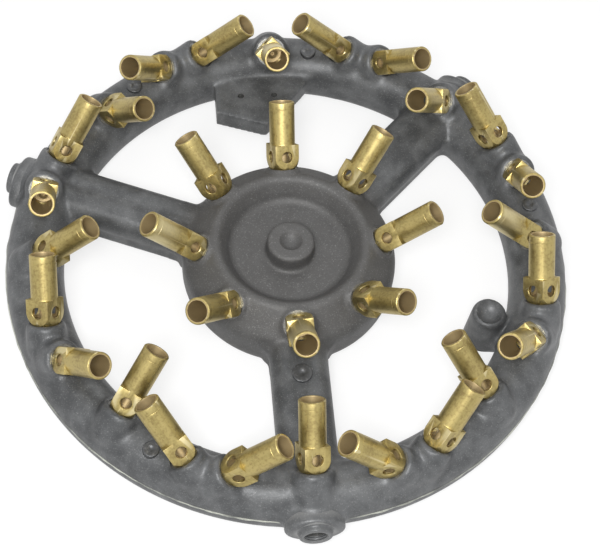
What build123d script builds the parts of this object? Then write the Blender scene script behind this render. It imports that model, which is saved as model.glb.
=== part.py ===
from build123d import *
import os
from math import cos, radians, sin, sqrt

# Gas ring burner: an iron gas casting with brass venturi jets screwed into it.
# Millimetres, +Z up. The origin is on the hub's axis, at the casting's flat underside.

# Ring of the casting
RING_OUTER_RADIUS = 228.6      # to the parting lip, an 18 inch burner
RING_WIDTH = 46.0
PARTING_LIP = 1.0              # how far the lip of flash stands out
PARTING_LIP_THICKNESS = 1.6
PARTING_HEIGHT = 19.0          # the mould's joint, and where the crown springs
RING_CORNER = 12.0             # rounded lower edges
WALL = 6.0                     # iron round the gas passages
PASSAGE_CORNER = 5.0

# Spokes
SPOKE_ANGLES = (-90.0, 45.0, 157.5)
SPOKE_WIDTH = 46.0
SPOKE_HEIGHT = 38.0            # top of the spokes above the underside
SPOKE_LIFT = 2.0               # the spokes' underside clears the surface by this
SPOKE_CROWN = 15.0             # rounding of the upper edges
SPOKE_FOOT = 6.0               # bevel of the lower edges
SPOKE_FLARE = 16.0             # plan radius where a spoke meets the hub or the ring
WEB_OVERLAP = 10.0             # how far the spokes' web runs in under the ring and hub

# Hub
HUB_RADIUS = 86.5
HUB_CORNER = 14.0
RIM_HEIGHT = 56.0
RIM_WIDTH = 7.5
RIM_ROUND = 3.4
DISH_RADIUS = 48.0
DISH_HEIGHT = 38.4
DISH_ROUND = 6.0
CENTRE_BOSS_RADIUS = 18.5
CENTRE_BOSS_HEIGHT = 53.8
CENTRE_BOSS_ROUND = 2.5
CENTRE_RECESS_RADIUS = 9.5
CENTRE_RECESS_DEPTH = 4.0
CHAMBER_CHAMFER = 10.0

# Jet seats
SEAT_RISE = 4.0                # centre of each ring seat above the ring's crown
SEAT_BOSS_RADIUS = 16.0
SEAT_BOSS_DEPTH = 17.0         # from the seat to the centre of the boss's round back
HUB_PAD_RADIUS = 12.5
HUB_PAD_STAND = 0.8            # how far a hub seat stands off the cone
HUB_PAD_DEPTH = 6.0
JETS_PER_ROW = 8
FIRST_JET_ANGLE = -90.0
JET_LEAN = 45.0                # from vertical
INWARD_SEAT_INSET = 7.6        # inside the ring's centre line
SIDE_SEAT_OUTSET = 0.3         # outside the ring's centre line
SIDE_SEAT_STEP = 17.6          # angle from an inward jet's seat to a side jet's seat
STRAIGHT_IN = 180.0             # a seat turned to face the burner's axis
SIDE_JET_TURN = 72.0           # from straight inwards towards the inward jet
HUB_SEAT_INSET = 12.3          # inside the hub's edge
HUB_SEAT_RISE = 1.6            # hub seats sit this much higher than the ring's

# Brass jet, along its own axis from the seat
JET_LENGTH = 55.2
BLOCK_ACROSS_FLATS = 20.5
BLOCK_HEIGHT = 20.5
BARREL_RADIUS = 10.4
BARREL_WALL = 2.0
MOUTH_CHAMFER = 0.6
MIXER_FLOOR = 4.0              # bottom of the bore above the seat
AIR_HOLE_RADIUS = 4.8
AIR_HOLE_HEIGHT = 10.5
ORIFICE_RADIUS = 1.0
NIPPLE_RADIUS = 5.1            # 1/8 pipe thread
NIPPLE_LENGTH = 9.0
NIPPLE_BORE = 2.6
THREAD_CLEARANCE = 0.05
FEED_DEPTH = 24.0              # drilling from a seat into the gas passage
FACING_CLEARANCE = 0.7         # the cutter that faces a seat, past the block's corners

# How far round each jet's square block came when its thread pulled tight
INWARD_CLOCKING = (15, 75, 40, 30, 45, 12, 0, 20)
LEFT_CLOCKING = (75, 72, 35, 88, 35, 42, 75, 45)
RIGHT_CLOCKING = (5, 75, 50, 60, 45, 40, 55, 70)
HUB_CLOCKING = (5, 0, 35, 70, 17, 32, 45, 45)

# Side ports at the spokes' outer ends
PORT_HEIGHT = 22.0
PORT_DOME_RADIUS = 20.0
PORT_DOME_REACH = 7.9          # from the ring to the dome's face
PORT_DOME_ROUND = 7.0
PORT_COLLAR_REACH = 4.5        # from the dome's face to the collar's
PORT_COLLAR_RADIUS = 12.8
PORT_COLLAR_ROUND = 1.5
PORT_BORE_RADIUS = 8.6

# Lug inside the ring
LUG_ANGLE = -22.5
LUG_INSET = 37.1               # from the ring's centre line
LUG_HEIGHT = 37.0
LUG_TOP_RADIUS = 14.0
LUG_FOOT_RADIUS = 16.5
LUG_TOP_ROUND = 3.5
LUG_RECESS_RADIUS = 9.5
LUG_RECESS_DEPTH = 5.0

# Bracket inside the ring
BRACKET_LEFT = -49.0
BRACKET_RIGHT = -7.5
BRACKET_REACH_LEFT = 57.6      # from the ring's centre line
BRACKET_REACH_RIGHT = 72.0
BRACKET_ROOT_RIGHT = 55.0
BRACKET_TOP = 29.0
BRACKET_THICKNESS = 18.0
BRACKET_ROUND = 2.0
BRACKET_HOLE_RADIUS = 2.75
BRACKET_HOLE_SPACING = 28.6
BRACKET_HOLES_X = -13.3
BRACKET_HOLES_INSET = 41.1     # from the ring's centre line

# Plugs that close the core holes
RING_PLUG_PLACES = ((125.3, 0.0), (-124.8, 4.3), (9.2, 0.0), (80.7, -3.2))   # angle, and how
                               # far outside the ring's centre line
RING_PLUG_RADIUS = 6.5
SPOKE_PLUG_GAP = 25.0          # from the hub's edge, on the first spoke
SPOKE_PLUG_RADIUS = 8.0
PLUG_LENGTH = 6.5
PLUG_STAND = 1.6
PLUG_ROUND = 0.8
PLUG_DIMPLE_RADIUS = 2.2
PLUG_DIMPLE_DEPTH = 0.8

TOP = (Align.CENTER, Align.CENTER, Align.MAX)
BOTTOM = (Align.CENTER, Align.CENTER, Align.MIN)
ON_LINE = (Align.CENTER, Align.MIN)
FROM_HUB = (Align.MIN, Align.CENTER)

ring_radius = RING_OUTER_RADIUS - PARTING_LIP - RING_WIDTH / 2
ring_height = PARTING_HEIGHT + RING_WIDTH / 2
seat_height = ring_height + SEAT_RISE
hub_seat_radius = HUB_RADIUS - HUB_SEAT_INSET
hub_seat_height = seat_height + HUB_SEAT_RISE
port_dome_radius = RING_OUTER_RADIUS + PORT_DOME_REACH
port_face_radius = port_dome_radius + PORT_COLLAR_REACH
lug_axis_radius = ring_radius - LUG_INSET
passage_height = SPOKE_HEIGHT - WALL


def ring_place(radius, angle, height=0.0):
    """A point of the burner from its distance and direction from the hub's axis."""
    return Vector(radius * cos(radians(angle)), radius * sin(radians(angle)), height)


def tunnel(width, foot, spring, corner):
    """Section with a flat foot, rounded lower corners and a half-round crown."""
    sides = Pos(0, foot) * Rectangle(width, spring - foot, align=ON_LINE)
    sides = fillet(sides.vertices().group_by(Axis.Y)[0], corner)
    crown = Circle(width / 2) & Rectangle(width, width, align=ON_LINE)
    return sides + Pos(0, spring) * crown


def ring_turned(section):
    """A section turned round the hub's axis at the ring's centre."""
    return revolve(Plane.XZ * Pos(ring_radius, 0) * section, Axis.Z)


def outward_plane(angle, radius, height):
    """Plane square to the direction out from the hub's axis."""
    return Plane(ring_place(radius, angle, height), z_dir=ring_place(1, angle))


def seat_plane(radius, angle, height, turn):
    """Plane of a jet's seat; turn goes from straight out to the way the jet leans."""
    heading = radians(angle + turn)
    lean = radians(JET_LEAN)
    axis = Vector(cos(heading) * sin(lean), sin(heading) * sin(lean), cos(lean))
    across = Vector(-sin(heading), cos(heading), 0)
    return Plane(ring_place(radius, angle, height), x_dir=across, z_dir=axis)


def seat_row(radius, first_angle, height, turn):
    """The seat planes of one row of jets, evenly round the hub."""
    pitch = 360.0 / JETS_PER_ROW
    angles = [first_angle + pitch * place for place in range(JETS_PER_ROW)]
    return [seat_plane(radius, angle, height, turn) for angle in angles]


inward_seats = seat_row(ring_radius - INWARD_SEAT_INSET, FIRST_JET_ANGLE, seat_height, STRAIGHT_IN)
left_seats = seat_row(ring_radius + SIDE_SEAT_OUTSET, FIRST_JET_ANGLE - SIDE_SEAT_STEP,
                      seat_height, STRAIGHT_IN - SIDE_JET_TURN)
right_seats = seat_row(ring_radius + SIDE_SEAT_OUTSET, FIRST_JET_ANGLE + SIDE_SEAT_STEP,
                       seat_height, STRAIGHT_IN + SIDE_JET_TURN)
hub_seats = seat_row(hub_seat_radius, FIRST_JET_ANGLE, hub_seat_height, 0.0)
ring_seats = inward_seats + left_seats + right_seats


# Outside of the casting

def ring_body():
    """The ring's tube, with the lip of flash at the mould's joint."""
    section = tunnel(RING_WIDTH, 0.0, PARTING_HEIGHT, RING_CORNER)
    lip = Rectangle(RING_WIDTH + 2 * PARTING_LIP, PARTING_LIP_THICKNESS)
    return ring_turned(section + Pos(0, PARTING_HEIGHT) * lip)


def window_rims(web, level):
    """Edges round the windows in the web's top (-1) or bottom (0) face."""
    rims = web.faces().sort_by(Axis.Z)[level].inner_wires()
    return [edge for rim in rims for edge in rim.edges()]


def spoke_web():
    """The three spokes as one plate, flared into the ring and hub and rounded along."""
    outer = ring_radius - RING_WIDTH / 2 + WEB_OVERLAP
    windows = Circle(outer) - Circle(HUB_RADIUS - WEB_OVERLAP)
    for angle in SPOKE_ANGLES:
        windows -= Rot(0, 0, angle) * Rectangle(outer + WALL, SPOKE_WIDTH, align=FROM_HUB)
    windows = fillet(windows.vertices(), SPOKE_FLARE)
    depth = SPOKE_HEIGHT - SPOKE_LIFT
    web = Cylinder(ring_radius, depth, align=BOTTOM) - extrude(windows, depth)
    web = fillet(window_rims(web, -1), SPOKE_CROWN)
    web = chamfer(window_rims(web, 0), SPOKE_FOOT)
    return Pos(0, 0, SPOKE_LIFT) * web


def hub_body():
    """The hub turned in one profile: foot, jet cone, rim, dish, centre boss and recess."""
    cone = hub_seat_radius + hub_seat_height - HUB_PAD_STAND * sqrt(2)
    rim = cone - RIM_HEIGHT
    foot = (HUB_RADIUS, 0)
    rim_outer = (rim, RIM_HEIGHT)
    rim_inner = (rim - RIM_WIDTH, RIM_HEIGHT)
    dish = (DISH_RADIUS, DISH_HEIGHT)
    boss_root = (CENTRE_BOSS_RADIUS, DISH_HEIGHT)
    boss_edge = (CENTRE_BOSS_RADIUS, CENTRE_BOSS_HEIGHT)
    recess = (0, CENTRE_BOSS_HEIGHT - CENTRE_RECESS_DEPTH)
    recess_rim = (CENTRE_RECESS_RADIUS, CENTRE_BOSS_HEIGHT)
    outline = Polyline(recess, (0, 0), foot, (HUB_RADIUS, cone - HUB_RADIUS), rim_outer,
                       rim_inner, dish, boss_root, boss_edge, recess_rim)
    bowl = TangentArc(recess, recess_rim, tangent=(1, 0))
    profile = make_face([outline, bowl])
    rounds = ((foot, HUB_CORNER), (rim_outer, RIM_ROUND), (rim_inner, RIM_ROUND),
              (dish, DISH_ROUND), (boss_root, CENTRE_BOSS_ROUND), (boss_edge, CENTRE_BOSS_ROUND))
    for point, radius in rounds:
        corner = profile.vertices().sort_by_distance(Vector(*point))[0]
        profile = fillet(corner, radius)
    return revolve(Plane.XZ * profile, Axis.Z)


def seat_boss():
    """Round-backed knuckle that carries one jet."""
    barrel = Cylinder(SEAT_BOSS_RADIUS, SEAT_BOSS_DEPTH, align=TOP)
    return barrel + Pos(0, 0, -SEAT_BOSS_DEPTH) * Sphere(SEAT_BOSS_RADIUS)


def port_boss(angle):
    """Domed boss and collar of one side port."""
    dome = Cylinder(PORT_DOME_RADIUS, port_dome_radius - ring_radius, align=TOP)
    dome = fillet(dome.edges().group_by(Axis.Z)[-1], PORT_DOME_ROUND)
    collar = Cylinder(PORT_COLLAR_RADIUS, port_face_radius - ring_radius, align=TOP)
    collar = fillet(collar.edges().group_by(Axis.Z)[-1], PORT_COLLAR_ROUND)
    return (outward_plane(angle, port_dome_radius, PORT_HEIGHT) * dome
            + outward_plane(angle, port_face_radius, PORT_HEIGHT) * collar)


def lug_body():
    """Tapered lug on the ring's inner side."""
    lug = Cone(LUG_FOOT_RADIUS, LUG_TOP_RADIUS, LUG_HEIGHT, align=BOTTOM)
    lug = fillet(lug.edges().group_by(Axis.Z)[-1], LUG_TOP_ROUND)
    bridge = Box(LUG_INSET, 2 * LUG_TOP_RADIUS, PARTING_HEIGHT,
                 align=(Align.MIN, Align.CENTER, Align.MIN))
    return Pos(ring_place(lug_axis_radius, LUG_ANGLE)) * (lug + Rot(0, 0, LUG_ANGLE) * bridge)


def bracket_body():
    """Flat bracket cast onto the ring's inner side."""
    outline = Polyline((BRACKET_LEFT, ring_radius), (BRACKET_LEFT, ring_radius - BRACKET_REACH_LEFT),
                       (BRACKET_RIGHT, ring_radius - BRACKET_REACH_RIGHT),
                       (BRACKET_ROOT_RIGHT, ring_radius), close=True)
    plate = extrude(make_face(outline), BRACKET_THICKNESS)
    plate = fillet(plate.edges().group_by(Axis.Z)[-1], BRACKET_ROUND)
    reach = Cylinder(ring_radius, BRACKET_TOP, align=BOTTOM)
    return (Pos(0, 0, BRACKET_TOP - BRACKET_THICKNESS) * plate) & reach


# Inside of the casting

def gas_passages():
    """The hollow that carries gas: hub chamber, three spoke channels and ring gallery."""
    gallery = ring_turned(tunnel(RING_WIDTH - 2 * WALL, WALL, PARTING_HEIGHT, PASSAGE_CORNER))
    depth = passage_height - WALL
    chamber = Cylinder(HUB_RADIUS - WALL, depth, align=BOTTOM)
    chamber = chamfer(chamber.edges().group_by(Axis.Z)[-1], CHAMBER_CHAMFER)
    channel = Box(ring_radius, SPOKE_WIDTH - 2 * WALL, depth,
                  align=(Align.MIN, Align.CENTER, Align.MIN))
    channel = fillet(channel.edges().filter_by(Axis.X), PASSAGE_CORNER)
    channels = [Rot(0, 0, angle) * channel for angle in SPOKE_ANGLES]
    return gallery + Pos(0, 0, WALL) * (chamber + channels)


def plug_places():
    """Where each core hole goes through the crown, and the radius of its plug."""
    places = [(ring_place(ring_radius + outset, angle, ring_height), RING_PLUG_RADIUS)
              for angle, outset in RING_PLUG_PLACES]
    spoke = ring_place(HUB_RADIUS + SPOKE_PLUG_GAP, SPOKE_ANGLES[0], SPOKE_HEIGHT)
    return places + [(spoke, SPOKE_PLUG_RADIUS)]


def drillings():
    """Every hole that is drilled or cored from outside into the casting."""
    feed = Cylinder(NIPPLE_RADIUS + THREAD_CLEARANCE, FEED_DEPTH, align=TOP)
    facing = Cylinder(BLOCK_ACROSS_FLATS / sqrt(2) + FACING_CLEARANCE, JET_LENGTH, align=BOTTOM)
    holes = [seat * (feed + facing) for seat in ring_seats + hub_seats]
    port = Cylinder(PORT_BORE_RADIUS, port_face_radius - ring_radius, align=TOP)
    holes += [outward_plane(angle, port_face_radius, PORT_HEIGHT) * port
              for angle in SPOKE_ANGLES]
    for place, radius in plug_places():
        holes.append(Pos(place) * Cylinder(radius + THREAD_CLEARANCE, WALL + RING_WIDTH / 4))
    recess = Cone(0, LUG_RECESS_RADIUS, LUG_RECESS_DEPTH, align=TOP)
    holes.append(Pos(ring_place(lug_axis_radius, LUG_ANGLE, LUG_HEIGHT)) * recess)
    for side in (-1, 1):
        x = BRACKET_HOLES_X + side * BRACKET_HOLE_SPACING / 2
        holes.append(Pos(x, ring_radius - BRACKET_HOLES_INSET)
                     * Cylinder(BRACKET_HOLE_RADIUS, SPOKE_HEIGHT, align=BOTTOM))
    return holes


def burner_casting():
    """The whole iron casting: cored, with its seats faced and its holes drilled."""
    pad = Cylinder(HUB_PAD_RADIUS, HUB_PAD_DEPTH, align=TOP)
    knuckles = [seat * seat_boss() for seat in ring_seats]
    pads = [seat * pad for seat in hub_seats]
    ports = [port_boss(angle) for angle in SPOKE_ANGLES]
    hub = hub_body() + pads
    ring = ring_body() + [lug_body(), bracket_body()] + ports + knuckles
    casting = spoke_web() + hub + ring
    return casting - gas_passages() - drillings()


# Brass jets

def jet():
    """One jet from its bar of square brass, standing on its seat; the block's lower corners
    are turned to a ball centred on the air holes."""
    corner_radius = BLOCK_ACROSS_FLATS / sqrt(2)
    block = extrude(Rectangle(BLOCK_ACROSS_FLATS, BLOCK_ACROSS_FLATS), BLOCK_HEIGHT)
    ball = Pos(0, 0, AIR_HOLE_HEIGHT) * Sphere(corner_radius)
    upper = Pos(0, 0, AIR_HOLE_HEIGHT) * Cylinder(2 * corner_radius, BLOCK_HEIGHT, align=BOTTOM)
    body = block & (ball + upper)
    body += Cylinder(BARREL_RADIUS, JET_LENGTH, align=BOTTOM)
    body += Cylinder(NIPPLE_RADIUS, NIPPLE_LENGTH, align=TOP)
    bore_radius = BARREL_RADIUS - BARREL_WALL
    body -= Pos(0, 0, MIXER_FLOOR) * Cylinder(bore_radius, JET_LENGTH, align=BOTTOM)
    mouth = body.edges().group_by(Axis.Z)[-1]
    body = chamfer(mouth, MOUTH_CHAMFER)
    body -= Cylinder(ORIFICE_RADIUS, MIXER_FLOOR, align=BOTTOM)
    body -= Cylinder(NIPPLE_BORE, NIPPLE_LENGTH, align=TOP)
    air_hole = Cylinder(AIR_HOLE_RADIUS, 2 * BLOCK_ACROSS_FLATS)
    for turn in (0, 90):
        body -= Pos(0, 0, AIR_HOLE_HEIGHT) * Rot(0, 0, turn) * Rot(90, 0, 0) * air_hole
    return body


def core_plug(radius):
    """Driven plug with a rounded head and a punched dimple."""
    plug = Cylinder(radius, PLUG_LENGTH, align=TOP)
    plug = fillet(plug.edges().group_by(Axis.Z)[-1], PLUG_ROUND)
    return plug - Cone(0, PLUG_DIMPLE_RADIUS, PLUG_DIMPLE_DEPTH, align=TOP)


def save(shape, name):
    export_step(shape, f"parts/{name}.step")


os.makedirs("parts", exist_ok=True)
save(burner_casting(), "burner_casting")
brass_jet = jet()
rows = (("inward_jet", inward_seats, INWARD_CLOCKING), ("left_jet", left_seats, LEFT_CLOCKING),
        ("right_jet", right_seats, RIGHT_CLOCKING), ("hub_jet", hub_seats, HUB_CLOCKING))
for name, seats, clocking in rows:
    for number, (seat, turn) in enumerate(zip(seats, clocking), start=1):
        save(seat * Rot(0, 0, turn) * brass_jet, f"{name}_{number}")
for number, (place, radius) in enumerate(plug_places(), start=1):
    save(Pos(place) * Pos(0, 0, PLUG_STAND) * core_plug(radius), f"core_plug_{number}")
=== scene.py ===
from math import asin, cos, degrees, hypot, pi, radians, sin, sqrt, tau

import bpy
from mathutils import Matrix, Vector


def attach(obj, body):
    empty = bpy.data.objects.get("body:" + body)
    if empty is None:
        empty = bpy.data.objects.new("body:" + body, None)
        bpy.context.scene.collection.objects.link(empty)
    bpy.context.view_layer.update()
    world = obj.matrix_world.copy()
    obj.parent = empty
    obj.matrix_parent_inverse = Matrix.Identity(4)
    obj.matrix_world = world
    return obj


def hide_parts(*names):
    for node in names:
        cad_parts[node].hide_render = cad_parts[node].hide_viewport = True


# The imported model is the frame: its box is the burner's real size, the hub's axis stands
# at the origin and the casting's flat underside lies on the ground.
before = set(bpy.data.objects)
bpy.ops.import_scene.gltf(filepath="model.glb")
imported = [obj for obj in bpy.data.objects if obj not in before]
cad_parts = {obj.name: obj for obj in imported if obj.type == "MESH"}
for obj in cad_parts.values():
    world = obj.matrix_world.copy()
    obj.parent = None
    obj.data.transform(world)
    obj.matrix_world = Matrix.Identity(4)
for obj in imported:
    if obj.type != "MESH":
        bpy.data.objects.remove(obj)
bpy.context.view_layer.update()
MM = 0.001


# ---------------------------------------------------------------------------------------
# Gas casting: one grey-iron sand casting with the ring, three hollow spokes and the hub.
# Each limb is shaped alone, then all are fused and softened, as the pattern maker's
# fillets and the moulding sand leave them; last the seats, ports and holes are machined.

RING_RADIUS = 204.6 * MM          # centre line of the ring's tube
RING_HALF_WIDTH = 23.0 * MM
PARTING_HEIGHT = 19.0 * MM        # joint of the mould, where the half-round crown springs
RING_CROWN = PARTING_HEIGHT + RING_HALF_WIDTH
FOOT_CORNER = 12.0 * MM           # rounded lower corners of the ring
BELOW_GROUND = -6.0 * MM          # limbs run on below the underside until it is cut flat

SPOKE_ANGLES = (-90.0, 45.0, 157.5)
SPOKE_WIDTH = 46.0 * MM
SPOKE_TOP = 38.0 * MM
SPOKE_CROWN = 15.0 * MM
SPOKE_FOOT_BEVEL = 6.0 * MM
SPOKE_LIFT = 2.0 * MM

HUB_RADIUS = 86.5 * MM
HUB_CORNER = 14.0 * MM

JETS_PER_ROW = 8
FIRST_JET_ANGLE = -90.0
JET_LEAN = 45.0                   # from upright
SEAT_HEIGHT = RING_CROWN + 4.0 * MM
KNUCKLE_RADIUS = 16.0 * MM
KNUCKLE_DEPTH = 17.0 * MM
HUB_SEAT_RADIUS = 74.2 * MM
HUB_SEAT_HEIGHT = SEAT_HEIGHT + 1.6 * MM
SEAT_FACING_RADIUS = 12.2 * MM    # the spot face cut round each jet
SEAT_STOCK = 1.0 * MM             # iron cast above a seat for the facing tool to take off

PORT_HEIGHT = 22.0 * MM
PORT_FACE_RADIUS = 241.0 * MM
PORT_BORE_RADIUS = 8.6 * MM
PORT_OVAL = Matrix.Translation((2.0 * MM, 0, 0)) @ Matrix.Diagonal((0.84, 1.12, 1, 1))
LUG_ANGLE = -22.5
LUG_AXIS_RADIUS = 167.5 * MM
LUG_FOOT_RADIUS = 16.5 * MM
BRACKET_TOP = 29.0 * MM
BRACKET_THICKNESS = 18.0 * MM
BRACKET_HOLES = ((-27.6 * MM, 163.5 * MM), (1.0 * MM, 163.5 * MM))
BRACKET_HOLE_RADIUS = 2.75 * MM
CENTRE_BOWL = (54.0 * MM, 9.2 * MM, 4.8 * MM)     # height of the mouth, radius, depth
LUG_BOWL = (36.8 * MM, 10.6 * MM, 5.8 * MM)

VOXEL = 1.75 * MM
SOFTENING = 6                     # passes that round the fused limbs together
RING_SOFTENING = 18               # further passes over the ring, its knuckles and spokes
BRACKET_SOFTENING = 2             # the only passes over the bracket


def burner_point(radius, angle, height=0.0):
    """A point of the burner from its distance and direction from the hub's axis."""
    return Vector((radius * cos(radians(angle)), radius * sin(radians(angle)), height))


def seat_matrix(radius, angle, height, turn):
    """Place of a jet's seat, with the jet's axis as its upright; turn is the jet's heading
    from straight out."""
    heading = radians(angle + turn)
    lean = radians(JET_LEAN)
    axis = Vector((cos(heading) * sin(lean), sin(heading) * sin(lean), cos(lean)))
    across = Vector((-sin(heading), cos(heading), 0.0))
    along = axis.cross(across)
    turned = Matrix((across, along, axis)).transposed().to_4x4()
    return Matrix.Translation(burner_point(radius, angle, height)) @ turned


def seat_row(radius, first_angle, height, turn):
    """The seats of one row of jets, evenly round the hub."""
    pitch = 360.0 / JETS_PER_ROW
    return [seat_matrix(radius, first_angle + pitch * place, height, turn)
            for place in range(JETS_PER_ROW)]


INWARD_SEATS = seat_row(RING_RADIUS - 7.6 * MM, FIRST_JET_ANGLE, SEAT_HEIGHT, 180.0)
LEFT_SEATS = seat_row(RING_RADIUS + 0.3 * MM, FIRST_JET_ANGLE - 17.6, SEAT_HEIGHT, 108.0)
RIGHT_SEATS = seat_row(RING_RADIUS + 0.3 * MM, FIRST_JET_ANGLE + 17.6, SEAT_HEIGHT, 252.0)
HUB_SEATS = seat_row(HUB_SEAT_RADIUS, FIRST_JET_ANGLE, HUB_SEAT_HEIGHT, 0.0)


def edit(mesh_mode="FACE", picked="NONE"):
    """Opens the active piece for editing with all or nothing selected."""
    bpy.ops.object.mode_set(mode="EDIT")
    bpy.ops.mesh.select_mode(type=mesh_mode)
    bpy.ops.mesh.select_all(action="SELECT" if picked == "ALL" else "DESELECT")


def close_edit():
    bpy.ops.object.mode_set(mode="OBJECT")


def fresh(name, add, **size):
    """A new primitive, alone in the selection, under the name of the piece it starts."""
    bpy.ops.object.select_all(action="DESELECT")
    add(**size)
    piece = bpy.context.object
    piece.name = name
    return piece


def pick(kind, test):
    """Selects the faces, edges or corners whose middle passes the test."""
    close_edit()
    mesh = bpy.context.object.data
    for part in getattr(mesh, kind):
        if kind == "vertices":
            middle = part.co
        elif kind == "edges":
            middle = sum((mesh.vertices[i].co for i in part.vertices), Vector()) / 2
        else:
            middle = part.center
        part.select = bool(test(middle))
    bpy.ops.object.mode_set(mode="EDIT")


def apply_modifier(piece, kind, **settings):
    """Adds a modifier with its settings and applies it."""
    bpy.ops.object.select_all(action="DESELECT")
    bpy.context.view_layer.objects.active = piece
    piece.select_set(True)
    modifier = piece.modifiers.new(kind.title(), kind)
    for setting, value in settings.items():
        setattr(modifier, setting, value)
    bpy.ops.object.modifier_apply(modifier=modifier.name)


def settle(piece, place=None):
    """Moves a piece's place into its mesh, which leaves its object at the origin."""
    if place is not None:
        piece.matrix_world = place
    bpy.ops.object.select_all(action="DESELECT")
    bpy.context.view_layer.objects.active = piece
    piece.select_set(True)
    bpy.ops.object.transform_apply(location=True, rotation=True, scale=True)
    return piece


def fuse(name, parts):
    """Joins parts into the first of them."""
    bpy.ops.object.select_all(action="DESELECT")
    for part in parts:
        part.select_set(True)
    bpy.context.view_layer.objects.active = parts[0]
    if len(parts) > 1:
        bpy.ops.object.join()
    parts[0].name = name
    return parts[0]


def turned(name, outline, steps):
    """Turns an outline of (radius, height) corners about the upright axis."""
    piece = fresh(name, bpy.ops.mesh.primitive_plane_add, size=MM)
    edit("VERT", "ALL")
    bpy.ops.mesh.merge(type="CENTER")
    bpy.ops.transform.translate(value=(outline[0][0], 0, outline[0][1]))
    for (r0, z0), (r1, z1) in zip(outline, outline[1:]):
        bpy.ops.mesh.extrude_region_move(TRANSFORM_OT_translate={"value": (r1 - r0, 0, z1 - z0)})
    bpy.ops.mesh.select_all(action="SELECT")
    bpy.ops.mesh.spin(steps=steps, angle=tau, center=(0, 0, 0), axis=(0, 0, 1))
    bpy.ops.mesh.select_all(action="SELECT")
    bpy.ops.mesh.remove_doubles(threshold=0.01 * MM)
    bpy.ops.mesh.select_all(action="SELECT")
    bpy.ops.mesh.normals_make_consistent(inside=False)
    close_edit()
    return piece


def arc(centre, radius, start, end, steps):
    """Corners along an arc of an outline, both ends in; angles from straight out."""
    return [(centre[0] + radius * cos(radians(start + (end - start) * i / steps)),
             centre[1] + radius * sin(radians(start + (end - start) * i / steps)))
            for i in range(steps + 1)]


def ring_limb():
    """The ring's tube: rounded lower corners, upright sides and a half-round crown."""
    inner = RING_RADIUS - RING_HALF_WIDTH
    outer = RING_RADIUS + RING_HALF_WIDTH
    outline = arc((outer - FOOT_CORNER, FOOT_CORNER), FOOT_CORNER, -90, 0, 6)
    outline += arc((RING_RADIUS, PARTING_HEIGHT), RING_HALF_WIDTH, 0, 180, 28)
    outline += arc((inner + FOOT_CORNER, FOOT_CORNER), FOOT_CORNER, 180, 270, 6)
    outline += [(inner + FOOT_CORNER, BELOW_GROUND), (outer - FOOT_CORNER, BELOW_GROUND)]
    return turned("ring_limb", outline + outline[:1], 180)


def spoke_limb(angle):
    """One spoke from the hub to the ring, crowned above and bevelled below."""
    length = RING_RADIUS
    spoke = fresh("spoke_limb", bpy.ops.mesh.primitive_cube_add, size=1.0)
    depth = SPOKE_TOP - SPOKE_LIFT
    spoke.matrix_world = (Matrix.Translation((length / 2, 0, SPOKE_LIFT + depth / 2))
                          @ Matrix.Diagonal((length, SPOKE_WIDTH, depth, 1)))
    settle(spoke)
    edit("EDGE")
    pick("edges", lambda m: abs(m.z - SPOKE_TOP) < MM and abs(m.x - length / 2) < MM)
    bpy.ops.mesh.bevel(offset=SPOKE_CROWN, segments=8, affect="EDGES", clamp_overlap=False)
    pick("edges", lambda m: abs(m.z - SPOKE_LIFT) < MM and abs(m.x - length / 2) < MM
         and abs(m.y) > SPOKE_WIDTH / 2 - MM)
    bpy.ops.mesh.bevel(offset=SPOKE_FOOT_BEVEL, segments=1, affect="EDGES")
    close_edit()
    return settle(spoke, Matrix.Rotation(radians(angle), 4, "Z"))


def spoke_gusset(angle, radius, side):
    """The cast fillet in the corner between a spoke and the hub or the ring, as a bar set
    cornerwise in it."""
    legs = 9.0 * MM
    half = SPOKE_WIDTH / 2
    edge = sqrt(radius ** 2 - half ** 2)
    foot, top = 8.0 * MM, SPOKE_TOP - SPOKE_CROWN * 0.6
    bar = fresh("gusset", bpy.ops.mesh.primitive_cube_add, size=1.0)
    return settle(bar, Matrix.Rotation(radians(angle), 4, "Z")
                  @ Matrix.Translation((edge, side * half, (foot + top) / 2))
                  @ Matrix.Rotation(radians(45.0), 4, "Z")
                  @ Matrix.Diagonal((legs / sqrt(2), legs / sqrt(2), top - foot, 1)))


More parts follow.
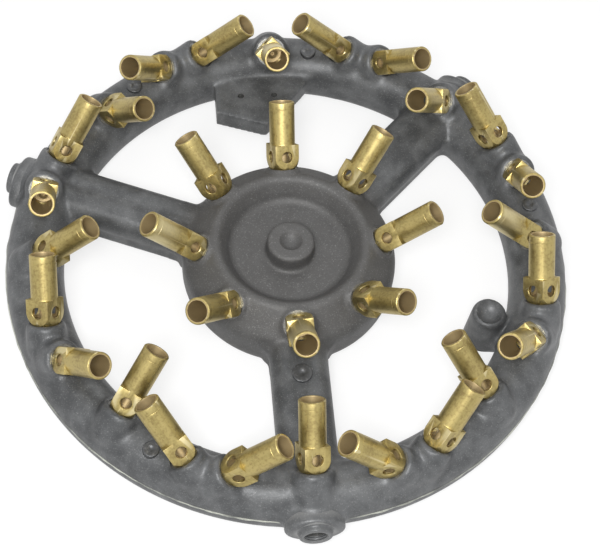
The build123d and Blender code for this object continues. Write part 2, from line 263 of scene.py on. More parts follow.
def hub_limb():
    """The hub's body: cone for its jets, soft rim, dish and centre boss; the boss's recess is cut
    later.
    """
    rim_width, rim_round, rim_height = 7.5 * MM, 3.4 * MM, 56.0 * MM
    dish_radius, dish_height, dish_round = 48.0 * MM, 38.4 * MM, 6.0 * MM
    boss_radius, boss_height, boss_round = 19.2 * MM, 54.2 * MM, 1.6 * MM
    pad_stand = 0.8 * MM
    cone = HUB_SEAT_RADIUS + HUB_SEAT_HEIGHT - pad_stand * sqrt(2)
    rim = cone - rim_height
    outline = [(0.0, boss_height)]
    outline += arc((boss_radius - boss_round, boss_height - boss_round), boss_round, 90, 0, 4)
    outline += arc((boss_radius + boss_round, dish_height + boss_round), boss_round, 180, 270, 4)
    slope = rim - rim_width - dish_radius
    outline += [(dish_radius - dish_round * 0.6, dish_height),
                (dish_radius + dish_round * 0.15, dish_height + dish_round * 0.35),
                (dish_radius + slope * 0.3, dish_height + (rim_height - dish_height) * 0.36),
                (rim - rim_width - rim_round * 0.3, rim_height - rim_round * 0.8)]
    outline += arc((rim - rim_width + rim_round * 0.75, rim_height - rim_round), rim_round,
                   110, 90, 1)
    outline += arc((rim - rim_round * 0.75, rim_height - rim_round), rim_round, 90, 45, 3)
    shoulder = HUB_RADIUS - HUB_CORNER * (1 - cos(radians(45.0)))
    corner_height = cone - HUB_RADIUS - HUB_CORNER * (sqrt(2) - 1)
    outline += arc((HUB_RADIUS - HUB_CORNER, corner_height), HUB_CORNER, 45, 0, 5)
    outline += arc((HUB_RADIUS - HUB_CORNER, HUB_CORNER), HUB_CORNER, 0, -90, 6)
    outline += [(HUB_RADIUS - HUB_CORNER, BELOW_GROUND), (0.0, BELOW_GROUND)]
    return turned("hub_limb", outline, 144)


def knuckle(seat):
    """Round-backed boss under one jet."""
    barrel = fresh("knuckle", bpy.ops.mesh.primitive_uv_sphere_add, segments=32, ring_count=16,
                   radius=KNUCKLE_RADIUS, location=(0, 0, 0))
    edit("FACE")
    pick("polygons", lambda m: m.z > 0)
    bpy.ops.mesh.delete(type="FACE")
    pick("vertices", lambda m: m.z > -0.1 * MM)
    bpy.ops.mesh.extrude_region_move(TRANSFORM_OT_translate={
        "value": (0, 0, KNUCKLE_DEPTH + SEAT_STOCK)})
    bpy.ops.mesh.edge_face_add()
    close_edit()
    return settle(barrel, seat @ Matrix.Translation((0, 0, -KNUCKLE_DEPTH)))


def hub_pad(seat):
    """Low round pad under one jet on the hub's cone."""
    radius, depth = 13.6 * MM, 7.0 * MM
    pad = fresh("hub_pad", bpy.ops.mesh.primitive_cylinder_add, vertices=48, radius=radius,
                depth=depth, location=(0, 0, SEAT_STOCK - depth / 2))
    settle(pad)
    return settle(pad, seat)


def port_matrix(angle):
    """Place of a side port: the hub's axis at the port's height, with the way out upright."""
    return (Matrix.Rotation(radians(angle), 4, "Z") @ Matrix.Translation((0, 0, PORT_HEIGHT))
            @ Matrix.Rotation(radians(90.0), 4, "Y"))


def port_boss(angle):
    """Domed boss of one side port."""
    dome_face, dome_radius, dome_round = PORT_FACE_RADIUS - 4.5 * MM, 20.5 * MM, 6.0 * MM
    outline = [(0.0, dome_face)]
    outline += arc((dome_radius - dome_round, dome_face - dome_round), dome_round, 90, 0, 7)
    outline += [(dome_radius, RING_RADIUS), (0.0, RING_RADIUS)]
    boss = turned("port_boss", outline, 64)
    return settle(boss, port_matrix(angle) @ PORT_OVAL)


def lug_limb():
    """Tapered lug bridged to the ring's inner side; its shallow recess is cut later."""
    top, top_radius, rounding = 37.0 * MM, 14.0 * MM, 3.5 * MM
    outline = [(0.0, top)]
    outline += arc((top_radius - rounding, top - rounding), rounding, 90, 0, 5)
    outline += [(LUG_FOOT_RADIUS, BELOW_GROUND), (0.0, BELOW_GROUND)]
    lug = settle(turned("lug", outline, 64),
                 Matrix.Translation(burner_point(LUG_AXIS_RADIUS, LUG_ANGLE)))
    bridge = fresh("lug_bridge", bpy.ops.mesh.primitive_cube_add, size=1.0)
    reach = RING_RADIUS - LUG_AXIS_RADIUS
    settle(bridge, Matrix.Rotation(radians(LUG_ANGLE), 4, "Z")
           @ Matrix.Translation((LUG_AXIS_RADIUS + reach / 2, 0, PARTING_HEIGHT / 2))
           @ Matrix.Diagonal((reach, 2 * top_radius, PARTING_HEIGHT, 1)))
    return fuse("lug_limb", [lug, bridge])


def bracket_limb():
    """Flat bracket for the pilot, cast onto the ring's inner side."""
    left, right, root_right = -49.0 * MM, -7.5 * MM, 55.0 * MM
    front_left, front_right = RING_RADIUS - 57.6 * MM, RING_RADIUS - 72.0 * MM
    plate = fresh("bracket_limb", bpy.ops.mesh.primitive_plane_add, size=1.0)
    edit("VERT")
    corners = ((left, front_left), (right, front_right), (left, RING_RADIUS),
               (root_right, RING_RADIUS))
    close_edit()
    in_order = sorted(plate.data.vertices, key=lambda corner: (corner.co.y, corner.co.x))
    for corner, place in zip(in_order, corners):
        corner.co = (place[0], place[1], BRACKET_TOP - BRACKET_THICKNESS)
    edit("FACE", "ALL")
    bpy.ops.mesh.extrude_region_move(TRANSFORM_OT_translate={"value": (0, 0, BRACKET_THICKNESS)})
    bpy.ops.mesh.select_all(action="SELECT")
    bpy.ops.mesh.normals_make_consistent(inside=False)
    close_edit()
    return plate


limbs = [ring_limb(), hub_limb(), lug_limb(), bracket_limb()]
limbs += [spoke_limb(angle) for angle in SPOKE_ANGLES]
limbs += [spoke_gusset(angle, radius, side) for angle in SPOKE_ANGLES for side in (-1, 1)
          for radius in (HUB_RADIUS, RING_RADIUS - RING_HALF_WIDTH)]
limbs += [knuckle(seat) for seat in INWARD_SEATS + LEFT_SEATS + RIGHT_SEATS]
limbs += [hub_pad(seat) for seat in HUB_SEATS]
limbs += [port_boss(angle) for angle in SPOKE_ANGLES]
casting = fuse("gas_casting", limbs)
as_cast = bpy.data.materials.new("sand_cast_iron")
apply_modifier(casting, "REMESH", mode="VOXEL", voxel_size=VOXEL, use_smooth_shade=True)
casting.data.materials.append(as_cast)
lug_foot = burner_point(LUG_AXIS_RADIUS, LUG_ANGLE)


def on_bracket(spot):
    """Whether a spot is on the bracket, whose edges are crisper than the rest."""
    left, right, front, back, low = -52 * MM, 58 * MM, 125 * MM, 176 * MM, 5 * MM
    return left < spot.x < right and front < spot.y < back and spot.z > low


def on_ring(spot):
    """Whether a spot is on the ring, its knuckles or the spokes."""
    past_hub, past_lug = HUB_RADIUS + 12.0 * MM, LUG_FOOT_RADIUS + 0.5 * MM
    return (hypot(spot.x, spot.y) > past_hub and not on_bracket(spot)
            and hypot(spot.x - lug_foot.x, spot.y - lug_foot.y) > past_lug)


for passes, test in ((BRACKET_SOFTENING, on_bracket), (SOFTENING, lambda spot: not on_bracket(spot)),
                     (RING_SOFTENING, on_ring)):
    skin_group = casting.vertex_groups.new(name="skin")
    skin_group.add([corner.index for corner in casting.data.vertices if test(corner.co)],
                   1.0, "REPLACE")
    apply_modifier(casting, "SMOOTH", factor=0.5, iterations=passes, vertex_group="skin")
    casting.vertex_groups.clear()


def cutter(name, radius, depth, place):
    """A drill or facing cutter whose flat end stands at its place's origin."""
    tool = fresh(name, bpy.ops.mesh.primitive_cylinder_add, vertices=48, radius=radius,
                 depth=depth, location=(0, 0, depth / 2))
    settle(tool)
    return settle(tool, place)


FACING_REACH, PORT_DRILL_REACH, BRACKET_DRILL_REACH = 9 * MM, 40 * MM, 30 * MM
PORT_DRILL_DEPTH = 25 * MM
GROUND_CUT = 20 * MM

cutters = [cutter("facing", SEAT_FACING_RADIUS, FACING_REACH, seat)
           for seat in INWARD_SEATS + LEFT_SEATS + RIGHT_SEATS + HUB_SEATS]
for angle in SPOKE_ANGLES:
    cutters.append(cutter("port_drill", PORT_BORE_RADIUS, PORT_DRILL_REACH, port_matrix(angle)
                          @ Matrix.Translation((0, 0, PORT_FACE_RADIUS - PORT_DRILL_DEPTH))))
for x, y in BRACKET_HOLES:
    under_bracket = 5 * MM
    cutters.append(cutter("bracket_drill", BRACKET_HOLE_RADIUS, BRACKET_DRILL_REACH,
                          Matrix.Translation((x, y, under_bracket))))
bowl = turned("bowl_cutter", [(0.0, -1.0)] + [(i / 6, (i / 6) ** 2.6 - 1.0) for i in range(1, 7)]
              + [(1.35, 0.5), (0.0, 0.5)], 64)
scoops = [fresh("ground_cutter", bpy.ops.mesh.primitive_cube_add, size=1.0)]
settle(scoops[0], Matrix.Translation((0, 0, -GROUND_CUT / 2))
       @ Matrix.Diagonal((0.6, 0.6, GROUND_CUT, 1)))
for axis_radius, (height, radius, depth) in ((0.0, CENTRE_BOWL), (LUG_AXIS_RADIUS, LUG_BOWL)):
    place = burner_point(axis_radius, LUG_ANGLE, height)
    scoop = bowl.copy()
    scoop.data = bowl.data.copy()
    bpy.context.scene.collection.objects.link(scoop)
    scoops.append(settle(scoop, Matrix.Translation(place)
                         @ Matrix.Diagonal((radius, radius, depth, 1))))
bpy.data.objects.remove(bowl)
machined = bpy.data.materials.new("machined_iron")
for name, tools, skin in (("scoops", scoops, as_cast), ("cutters", cutters, machined)):
    tool = fuse(name, tools)
    tool.data.materials.append(skin)
    apply_modifier(casting, "BOOLEAN", operation="DIFFERENCE", object=tool, solver="EXACT",
                   material_mode="TRANSFER")
    bpy.data.objects.remove(tool)
bpy.ops.object.shade_smooth_by_angle(angle=radians(38.0))


class Field:
    """A shader socket that takes part in plain arithmetic."""

    def __init__(self, material, socket):
        self.material = material
        self.socket = socket

    def maths(self, operation, first, second):
        return self.material.node("Math", {"operation": operation}, {0: first, 1: second})

    def __add__(self, other):
        return self.maths("ADD", self, other)

    def __sub__(self, other):
        return self.maths("SUBTRACT", self, other)

    def __rsub__(self, other):
        return self.maths("SUBTRACT", other, self)

    def __mul__(self, other):
        return self.maths("MULTIPLY", self, other)

    __radd__ = __add__
    __rmul__ = __mul__


class Finish:
    """One material, or the world, under construction, and the one way to add a node to it."""

    def __init__(self, material):
        self.material = material
        self.material.use_nodes = True
        self.tree = self.material.node_tree
        self.shader = self.tree.nodes.get("Principled BSDF") or self.tree.nodes["Background"]

    def node(self, kind, settings=None, inputs=None, output=0):
        """Adds a node: its settings first, then the values or links of its sockets."""
        made = self.tree.nodes.new("ShaderNode" + kind)
        for setting, value in (settings or {}).items():
            setattr(made, setting, value)
        for socket, value in (inputs or {}).items():
            self.feed(made.inputs[socket], value)
        return Field(self, made.outputs[output])

    def feed(self, socket, value):
        if isinstance(value, Field):
            self.tree.links.new(value.socket, socket)
        elif isinstance(value, tuple) and len(value) == 3 and socket.type == "RGBA":
            socket.default_value = (*value, 1.0)
        else:
            socket.default_value = value

    def blend(self, mask, low, high):
        """Colour that goes from low to high as the mask goes from 0 to 1."""
        return self.node("Mix", {"data_type": "RGBA"}, {0: mask, 6: low, 7: high}, 2)

    def step(self, value, low, high):
        """0 below low, 1 above high, smooth between."""
        return self.node("MapRange", {"interpolation_type": "SMOOTHSTEP"},
                         {0: value, 1: low, 2: high, 3: 0.0, 4: 1.0})

    def noise(self, place, scale, detail=3.0, roughness=0.5):
        return self.node("TexNoise", None, {"Vector": place, "Scale": scale, "Detail": detail,
                                            "Roughness": roughness})

    def background_ray(self):
        """1 for rays that show the background to the camera, straight or in metal."""
        straight = self.node("LightPath", None, None, "Is Camera Ray")
        return straight + self.node("LightPath", None, None, "Is Glossy Ray")

    def place(self):
        """The piece's own coordinates, in metres from the hub's axis."""
        return self.node("TexCoord", None, None, "Object")

    def set(self, **sockets):
        for socket, value in sockets.items():
            self.feed(self.shader.inputs[socket.replace("_", " ")], value)
        return self.material


def sand_cast_iron(material):
    """Grey iron as cast: sand grain whose light specks are painted glints, a grey skin that is a
    little drier and browner over the hub, and a polish on the high edges."""
    iron = Finish(material)
    at = iron.place()
    grain = iron.noise(at, 900.0, 4.0, 0.65)
    sand = iron.noise(at, 330.0, 3.0, 0.6)
    drift = iron.noise(at, 75.0, 4.0, 0.55)
    patches = iron.noise(at, 14.0, 2.0, 0.5)
    grit = iron.node("TexVoronoi", {"feature": "F1"}, {"Vector": at, "Scale": 330.0})
    x = iron.node("SeparateXYZ", None, {0: at}, 0)
    y = iron.node("SeparateXYZ", None, {0: at}, 1)
    from_axis = iron.node("VectorMath", {"operation": "LENGTH"},
                          {0: iron.node("CombineXYZ", None, {0: x, 1: y})}, 1)
    pale_grey, dark_grey = (0.112, 0.115, 0.118), (0.050, 0.052, 0.054)
    hub_grey, painted_grain_glint = (0.080, 0.0775, 0.075), (0.36, 0.36, 0.355)
    pits, polish = (0.045, 0.045, 0.047), (0.34, 0.34, 0.335)
    skin = iron.blend(iron.step(patches * 0.4 + drift * 0.6, 0.34, 0.68), dark_grey, pale_grey)
    hub = iron.step(from_axis, 0.105, 0.075)
    skin = iron.blend(hub * 0.8, skin, hub_grey)
    # Light specks on the sand grain: painted glints of light.
    skin = iron.blend(iron.step(grain, 0.54, 0.74) * 0.38, skin, painted_grain_glint)
    skin = iron.blend(iron.step(sand, 0.46, 0.28) * 0.30, skin, pits)
    worn = iron.node("NewGeometry", None, None, "Pointiness")
    skin = iron.blend(iron.step(worn, 0.53, 0.60) * 0.4, skin, polish)
    height = grain * 0.55 + sand * 0.6 + iron.step(grit, 0.0, 0.4) * 0.15
    bump = iron.node("Bump", None, {"Height": height, "Strength": 0.55, "Distance": 0.4 * MM})
    return iron.set(Base_Color=skin, Roughness=0.33 + sand * 0.20 + hub * 0.12,
                    Metallic=0.2, Specular_IOR_Level=0.36, Normal=bump)


def machined_iron(material):
    """Iron cut by the facing tool: brighter than the cast skin, and dulled by oil."""
    cut = Finish(material)
    at = cut.place()
    marks = cut.noise(at, 900.0, 3.0, 0.6)
    skin = cut.blend(cut.step(marks, 0.35, 0.65), (0.19, 0.19, 0.185), (0.31, 0.31, 0.30))
    bump = cut.node("Bump", None, {"Height": marks, "Strength": 0.2, "Distance": 0.1 * MM})
    return cut.set(Base_Color=skin, Roughness=0.3 + marks * 0.2, Metallic=0.8, Normal=bump)


sand_cast_iron(as_cast)
machined_iron(machined)
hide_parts("burner_casting")
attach(casting, "root")

# ---------------------------------------------------------------------------------------
# Side ports: a round flange on each spoke's outer end with the bored and threaded nose
# where the gas supply or a pilot screws in. Cast with the ring, then faced and drilled.

NOSE_RADIUS = 12.8 * MM
NOSE_REACH = 4.5 * MM
FLANGE_RADIUS = 20.6 * MM
FLANGE_ROUND = 3.2 * MM


def side_port(number, angle):
    """One port: threaded bore and filed nose, on a flange that is wider than high."""
    face = PORT_FACE_RADIUS
    shoulder, depth = face - NOSE_REACH, face - 14 * MM
    threads, pitch, thread_depth = 6, 2.0, 0.55 * MM
    edge_round, foot_round = 1.3 * MM, 1.5 * MM
    outline = [(PORT_BORE_RADIUS, depth)]
    for turn in range(threads):
        crest = face - (13.2 - pitch * turn) * MM
        outline += [(PORT_BORE_RADIUS, crest), (PORT_BORE_RADIUS + thread_depth, crest + MM)]
    outline += [(PORT_BORE_RADIUS, face - 1.2 * MM), (PORT_BORE_RADIUS + 0.9 * MM, face)]
    outline += arc((NOSE_RADIUS - edge_round, face - edge_round), edge_round, 90, 0, 5)
    outline += arc((NOSE_RADIUS + foot_round, shoulder + edge_round), foot_round, 180, 270, 4)
    outline += [(NOSE_RADIUS + foot_round, depth), (PORT_BORE_RADIUS, depth)]
    nose = turned(f"side_port_{number}", outline, 96)
    inner, back = 12.0 * MM, shoulder - 14 * MM
    outline = [(inner, shoulder), (16.5 * MM, shoulder - 0.5 * MM)]
    outline += arc((FLANGE_RADIUS - FLANGE_ROUND, shoulder - FLANGE_ROUND - MM), FLANGE_ROUND,
                   70, 0, 6)
    outline += [(FLANGE_RADIUS, back), (inner, back), (inner, shoulder)]
    flange = settle(turned("flange", outline, 96), PORT_OVAL)
    port = fuse(f"side_port_{number}", [nose, flange])
    bpy.ops.object.shade_smooth_by_angle(angle=radians(42.0))
    return settle(port, port_matrix(angle))


for number, angle in enumerate(SPOKE_ANGLES, start=1):
    port = side_port(number, angle)
    port.data.materials.append(as_cast)
    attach(port, "root")

# ---------------------------------------------------------------------------------------
# Parting flash: a thin lip of iron left round the ring where the two halves of the mould
# met, trimmed by hand, so that its edge is uneven; its brightness is a painted highlight.

FLASH_REACH = 1.0 * MM
FLASH_THICKNESS = 1.3 * MM
FLASH_LIP = 0.3 * MM
FLASH_NICK = 0.22 * MM            # a quarter of the deepest nick

flash_foot = RING_RADIUS + RING_HALF_WIDTH - 1.5 * MM
flash_edge = RING_RADIUS + RING_HALF_WIDTH + FLASH_REACH
half = FLASH_THICKNESS / 2
flash_outline = [(flash_foot, PARTING_HEIGHT - half),
                 (flash_edge - FLASH_LIP, PARTING_HEIGHT - half),
                 (flash_edge, PARTING_HEIGHT - half * 0.3),
                 (flash_edge, PARTING_HEIGHT + half * 0.3),
                 (flash_edge - FLASH_LIP, PARTING_HEIGHT + half),
                 (flash_foot, PARTING_HEIGHT + half)]
flash = turned("parting_flash", flash_outline + flash_outline[:1], 480)
for corner in flash.data.vertices:
    radius = hypot(corner.co.x, corner.co.y)
    if radius > flash_edge - MM:
        round_the_ring = Vector((corner.co.x, corner.co.y, 0)).normalized()
        wave = sin(41 * round_the_ring.x + 69 * round_the_ring.y)
        wave += sin(97 * round_the_ring.x - 53 * round_the_ring.y)
        corner.co -= round_the_ring * (2.0 + wave) * FLASH_NICK
bpy.ops.object.shade_smooth_by_angle(angle=radians(50.0))


def flash_with_painted_highlight():
    """Iron of the trimmed flash, with a painted green-grey highlight in uneven patches along it."""
    edge = Finish(bpy.data.materials.new("flash_with_painted_highlight"))
    at = edge.place()
    painted_highlight_patches = edge.noise(at, 38.0, 4.0, 0.6)
    # Dark iron to pale green-grey: a painted highlight along the flash's edge.
    skin = edge.blend(edge.step(painted_highlight_patches, 0.36, 0.64), (0.16, 0.165, 0.155), (0.50, 0.51, 0.45))
    bump = edge.node("Bump", None, {"Height": edge.noise(at, 500.0), "Strength": 0.3,
                                    "Distance": 0.3 * MM})
    return edge.set(Base_Color=skin, Roughness=0.38 + painted_highlight_patches * 0.2, Metallic=0.5, Normal=bump)


flash.data.materials.append(flash_with_painted_highlight())
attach(flash, "root")

# ---------------------------------------------------------------------------------------
# Jets: 32 brass venturi jets, each turned from square bar. The block takes the spanner
# and has four cross-drilled air holes; the barrel is bored thin and its mouth chamfered.
# Each came to rest at its own angle when its taper thread pulled tight in the casting.

JET_LENGTH = 55.2 * MM
BLOCK = 20.5 * MM                 # across the flats, and its height
BARREL_RADIUS = 10.4 * MM
BORE_RADIUS = 8.4 * MM
MOUTH_CHAMFER = 0.6 * MM
MIXER_FLOOR = 4.0 * MM
AIR_HOLE_RADIUS = 4.6 * MM
AIR_HOLE_HEIGHT = 10.5 * MM
SPUD_RADIUS = 4.4 * MM            # the gas orifice's post, seen through the air holes
SPUD_HEIGHT = 14.0 * MM
GROOVE_FROM_MOUTH = 5.5 * MM
GROOVE_DEPTH = 0.12 * MM
NIPPLE_RADIUS = 5.1 * MM
NIPPLE_LENGTH = 9.0 * MM
INWARD_CLOCKING = (15, 75, 40, 30, 45, 12, 0, 20)
LEFT_CLOCKING = (75, 72, 35, 88, 35, 42, 75, 45)
RIGHT_CLOCKING = (5, 75, 50, 60, 45, 40, 55, 70)
HUB_CLOCKING = (5, 0, 35, 70, 17, 32, 45, 45)


def jet_pattern():
    """The first jet, standing on its seat at the origin: block, barrel, bore, air holes."""
    block = fresh("jet", bpy.ops.mesh.primitive_cube_add, size=BLOCK, location=(0, 0, BLOCK / 2))
    settle(block)
    ball = BLOCK / sqrt(2)
    past_corner = ball + 0.05 * MM
    foot = sqrt(ball ** 2 - AIR_HOLE_HEIGHT ** 2)
    low = -degrees(asin(AIR_HOLE_HEIGHT / ball))
    outline = [(0, 0), (foot, 0)] + arc((0, AIR_HOLE_HEIGHT), ball, low, 0, 10)[1:]
    outline[-1] = (past_corner, AIR_HOLE_HEIGHT)
    blank = turned("jet_blank", outline + [(past_corner, BLOCK), (0, BLOCK)], 96)
    groove = JET_LENGTH - GROOVE_FROM_MOUTH
    above_holes = AIR_HOLE_HEIGHT + AIR_HOLE_RADIUS + MM
    barrel = turned("jet_barrel", [(0, MM), (BARREL_RADIUS, MM), (BARREL_RADIUS, BLOCK + MM),
                                   (BARREL_RADIUS, groove - 0.5 * MM),
                                   (BARREL_RADIUS - GROOVE_DEPTH, groove - 0.3 * MM),
                                   (BARREL_RADIUS - GROOVE_DEPTH, groove),
                                   (BARREL_RADIUS, groove + 0.2 * MM),
                                   (BARREL_RADIUS, JET_LENGTH - MOUTH_CHAMFER),
                                   (BARREL_RADIUS - MOUTH_CHAMFER, JET_LENGTH),
                                   (0, JET_LENGTH)], 96)
    nipple = turned("jet_nipple", [(0, -NIPPLE_LENGTH), (NIPPLE_RADIUS, -NIPPLE_LENGTH),
                                   (NIPPLE_RADIUS, 2 * MM), (0, 2 * MM)], 32)
    bore = turned("jet_bore", [(0, MIXER_FLOOR), (BORE_RADIUS, MIXER_FLOOR),
                               (BORE_RADIUS, above_holes), (BORE_RADIUS, JET_LENGTH - MM),
                               (BORE_RADIUS, JET_LENGTH + MM), (0, JET_LENGTH + MM)], 96)
    steps = [("INTERSECT", blank), ("UNION", barrel), ("UNION", nipple), ("DIFFERENCE", bore)]
    spud = turned("jet_spud", [(0, MM), (SPUD_RADIUS, MM), (SPUD_RADIUS, SPUD_HEIGHT - 2 * MM),
                               (1.6 * MM, SPUD_HEIGHT), (0.7 * MM, SPUD_HEIGHT),
                               (0, SPUD_HEIGHT - 2 * MM)], 32)
    for turn in (0, 90):
        across = (Matrix.Translation((0, 0, AIR_HOLE_HEIGHT)) @ Matrix.Rotation(radians(turn), 4, "Z")
                  @ Matrix.Rotation(radians(90.0), 4, "X"))
        drill = fresh("air_drill", bpy.ops.mesh.primitive_cylinder_add, vertices=48,
                      radius=AIR_HOLE_RADIUS, depth=2 * BLOCK)
        settle(drill, across)
        steps.append(("DIFFERENCE", drill))
        for end in (-1, 1):
            sink = fresh("countersink", bpy.ops.mesh.primitive_cone_add, vertices=48,
                         radius1=AIR_HOLE_RADIUS - MM, radius2=AIR_HOLE_RADIUS + MM, depth=2 * MM)
            settle(sink, across @ Matrix.Rotation(pi * (end < 0), 4, "X")
                   @ Matrix.Translation((0, 0, BLOCK / 2 - 0.25 * MM)))
            steps.append(("DIFFERENCE", sink))
    steps.append(("UNION", spud))
    for operation, tool in steps:
        apply_modifier(block, "BOOLEAN", operation=operation, object=tool, solver="EXACT")
        bpy.data.objects.remove(tool)
    edit("VERT", "ALL")
    bpy.ops.mesh.remove_doubles(threshold=0.02 * MM)
    close_edit()
    apply_modifier(block, "BEVEL", width=0.35 * MM, segments=2, limit_method="ANGLE",
                   angle_limit=radians(32.0), use_clamp_overlap=True)
    bpy.ops.object.shade_smooth_by_angle(angle=radians(30.0))
    mesh = block.data
    own = mesh.attributes.new("own_place", "FLOAT_VECTOR", "POINT")
    for corner in mesh.vertices:
        own.data[corner.index].vector = corner.co
    return block


def machined_brass():
    """Free-cutting brass, lathe marks round the barrel, dulled olive-gold with painted highlights
    in lighter gold streaks along the barrel, and brown soot and cutting oil inside the bore."""
    brass = Finish(bpy.data.materials.new("machined_brass"))
    at = brass.place()
    own = brass.node("Attribute", {"attribute_name": "own_place"}, None, "Vector")
    x = brass.node("SeparateXYZ", None, {0: own}, 0)
    y = brass.node("SeparateXYZ", None, {0: own}, 1)
    along = brass.node("SeparateXYZ", None, {0: own}, 2)
    from_axis = brass.node("VectorMath", {"operation": "LENGTH"},
                           {0: brass.node("CombineXYZ", None, {0: x, 1: y})}, 1)
    inside = brass.step(from_axis, BORE_RADIUS + 0.9 * MM, BORE_RADIUS + 0.2 * MM)
    tarnish = brass.noise(at, 60.0, 3.0, 0.55)
    fine = brass.noise(at, 480.0, 4.0, 0.65)
    turning = brass.noise(brass.node("CombineXYZ", None, {0: along * 2600.0, 1: tarnish * 2.0}),
                          1.0, 4.0, 0.6)
    # Streaks along the barrel's axis: painted highlights, lighter gold, with darker olive between
    # them.
    highlight_streaks = brass.noise(brass.node("CombineXYZ", None,
                                     {0: x * 420.0, 1: y * 420.0, 2: along * 35.0 + tarnish * 3.0}),
                          1.0, 3.0, 0.6)
    gold_and_streak_highlight, olive, brown = (0.465, 0.377, 0.155), (0.37, 0.298, 0.118), (0.42, 0.32, 0.17)
    soot = (0.26, 0.19, 0.08)
    # Olive to gold: tarnish that varies at random, plus the painted highlight streaks.
    colour = brass.blend(brass.step(tarnish * 0.5 + highlight_streaks * 0.5, 0.38, 0.62), olive, gold_and_streak_highlight)
    colour = brass.blend(brass.step(turning, 0.5, 0.8) * 0.3, colour, (0.58, 0.50, 0.27))
    colour = brass.blend(brass.step(fine * 0.7 + tarnish * 0.3, 0.53, 0.38) * 0.6, colour, soot)
    colour = brass.blend(inside * 0.9, colour, brown)
    worn = brass.node("NewGeometry", None, None, "Pointiness")
    colour = brass.blend(brass.step(worn, 0.52, 0.60) * (1.0 - inside) * 0.6, colour,
                         (0.70, 0.62, 0.38))
    bump = brass.node("Bump", None, {"Height": turning * 0.5 + fine * 0.7, "Strength": 0.32,
                                     "Distance": 0.12 * MM})
    return brass.set(Base_Color=colour, Roughness=0.34 + tarnish * 0.18 + inside * 0.10,
                     Metallic=1.0 - inside * 0.35, Normal=bump)


brass = machined_brass()
pattern = jet_pattern()
pattern.data.materials.clear()
pattern.data.materials.append(brass)
rows = (("inward_jet", INWARD_SEATS, INWARD_CLOCKING), ("left_jet", LEFT_SEATS, LEFT_CLOCKING),
        ("right_jet", RIGHT_SEATS, RIGHT_CLOCKING), ("hub_jet", HUB_SEATS, HUB_CLOCKING))
for row, seats, clocking in rows:
    for number, (seat, turn) in enumerate(zip(seats, clocking), start=1):
        jet = pattern.copy()
        jet.data = pattern.data.copy()
        jet.name = "brass_" + row + f"_{number}"
        bpy.context.scene.collection.objects.link(jet)
        jet.data.transform(seat @ Matrix.Rotation(radians(turn), 4, "Z"))
        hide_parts(f"{row}_{number}")
        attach(jet, "root")
bpy.data.objects.remove(pattern)

# ---------------------------------------------------------------------------------------
# Core plugs: small steel plugs driven into the holes that held the sand core, four on the
# ring's crown and a larger one on the front spoke, each with the dimple of the punch.

RING_PLUG_PLACES = ((125.3, 0.0), (-124.8, 4.3 * MM), (9.2, 0.0), (80.7, -3.2 * MM))
RING_PLUG_RADIUS = 6.5 * MM
SPOKE_PLUG_PLACE = (111.5 * MM, -90.0)
SPOKE_PLUG_RADIUS = 8.0 * MM
PLUG_LENGTH = 6.5 * MM
PLUG_STAND = 1.6 * MM


def plug(name, radius, place):
    """One plug: rounded head, punched dimple, shank down in its hole."""
    rounding, dimple, depth = 0.8 * MM, 2.4 * MM, 0.9 * MM
    outline = [(0.0, -depth), (dimple * 0.6, -depth * 0.7), (dimple, -0.15 * MM),
               (dimple + 0.5 * MM, 0.0)]
    outline += arc((radius - rounding, -rounding), rounding, 90, 0, 4)
    outline += [(radius, -PLUG_LENGTH), (0.0, -PLUG_LENGTH)]
    head = turned(name, outline, 48)
    bpy.ops.object.shade_smooth_by_angle(angle=radians(40.0))
    return settle(head, Matrix.Translation(place + Vector((0, 0, PLUG_STAND))))


def driven_steel():
    """Plain steel gone grey, scuffed bright by the punch."""
    steel = Finish(bpy.data.materials.new("driven_steel"))
    at = steel.place()
    scuff = steel.noise(at, 300.0, 4.0, 0.6)
    skin = steel.blend(steel.step(scuff, 0.5, 0.75), (0.085, 0.087, 0.09), (0.20, 0.20, 0.20))
    bump = steel.node("Bump", None, {"Height": scuff, "Strength": 0.3, "Distance": 0.2 * MM})
    return steel.set(Base_Color=skin, Roughness=0.34 + scuff * 0.2, Metallic=0.7, Normal=bump)


steel = driven_steel()
plug_places = [(burner_point(RING_RADIUS + outset, angle, RING_CROWN), RING_PLUG_RADIUS)
               for angle, outset in RING_PLUG_PLACES]
plug_places.append((burner_point(*SPOKE_PLUG_PLACE, SPOKE_TOP), SPOKE_PLUG_RADIUS))
for number, (place, radius) in enumerate(plug_places, start=1):
    core_plug = plug(f"steel_core_plug_{number}", radius, place)
    core_plug.data.materials.append(steel)
    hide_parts(f"core_plug_{number}")
    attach(core_plug, "root")

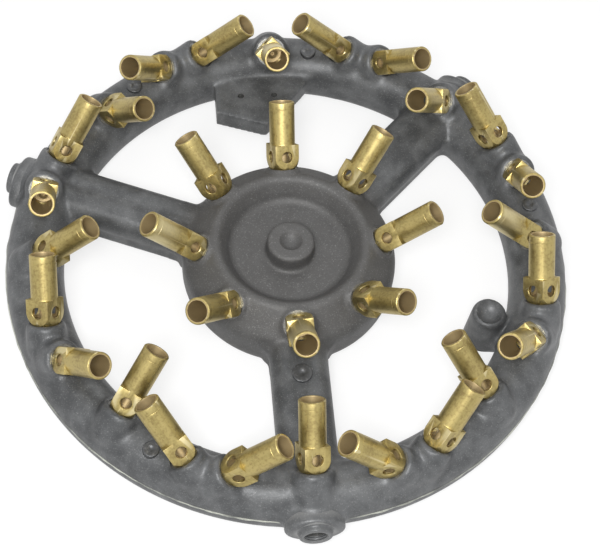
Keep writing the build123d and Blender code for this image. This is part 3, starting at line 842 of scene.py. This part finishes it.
# ---------------------------------------------------------------------------------------
# Studio: a pale floor under the burner, a white surround, a soft lamp close above the
# camera, a weak one behind, and the camera, which looks down from the front and left.

floor = fresh("floor", bpy.ops.mesh.primitive_plane_add, size=12.0, location=(0, 0, 0))
pale = Finish(bpy.data.materials.new("pale_floor"))
pale.set(Base_Color=(0.86, 0.86, 0.86), Roughness=0.9)
glow = pale.node("Emission", None, {"Color": (1.0, 1.0, 1.0), "Strength": 1.0}, "Emission")
shown = pale.node("MixShader", None, {0: pale.background_ray() * 0.7,
                                      1: Field(pale, pale.shader.outputs[0]), 2: glow})
pale.tree.links.new(shown.socket, pale.tree.nodes["Material Output"].inputs[0])
floor.data.materials.append(pale.material)

surround = Finish(bpy.data.worlds.new("studio"))
surround.set(Color=(1.0, 1.0, 1.0), Strength=0.60)
white = surround.node("Background", None, {"Color": (1.0, 1.0, 1.0), "Strength": 1.0})
shown = surround.node("MixShader", None, {0: surround.background_ray(),
                                          1: Field(surround, surround.shader.outputs[0]), 2: white})
surround.tree.links.new(shown.socket, surround.tree.nodes["World Output"].inputs[0])
bpy.context.scene.world = surround.material


def lamp(name, place, size, watts):
    """A soft box aimed at the burner."""
    bpy.ops.object.select_all(action="DESELECT")
    bpy.ops.object.light_add(type="AREA", location=place)
    box = bpy.context.object
    box.name = name
    box.data.shape = "DISK"
    box.data.size = size
    box.data.energy = watts
    box.rotation_euler = (-Vector(place)).to_track_quat("-Z", "Y").to_euler()


lamp("key_lamp", (-0.25, -0.85, 1.45), 0.6, 27.0)
lamp("back_lamp", (0.5, 1.6, 1.9), 1.2, 5.0)

bpy.ops.object.camera_add()
camera = bpy.context.object
eye = Vector((-134.1, -721.5, 1208.1)) * MM
aim = Vector((4.9, -31.9, 46.0)) * MM
gaze = (aim - eye).to_track_quat("-Z", "Y").to_matrix().to_4x4()
camera.matrix_world = Matrix.Translation(eye) @ gaze @ Matrix.Rotation(radians(7.36), 4, "Z")
camera.data.lens = 102.78
camera.data.sensor_width = 36.0
camera.data.clip_end = 50.0
bpy.context.scene.camera = camera
bpy.context.scene.view_settings.view_transform = "Standard"
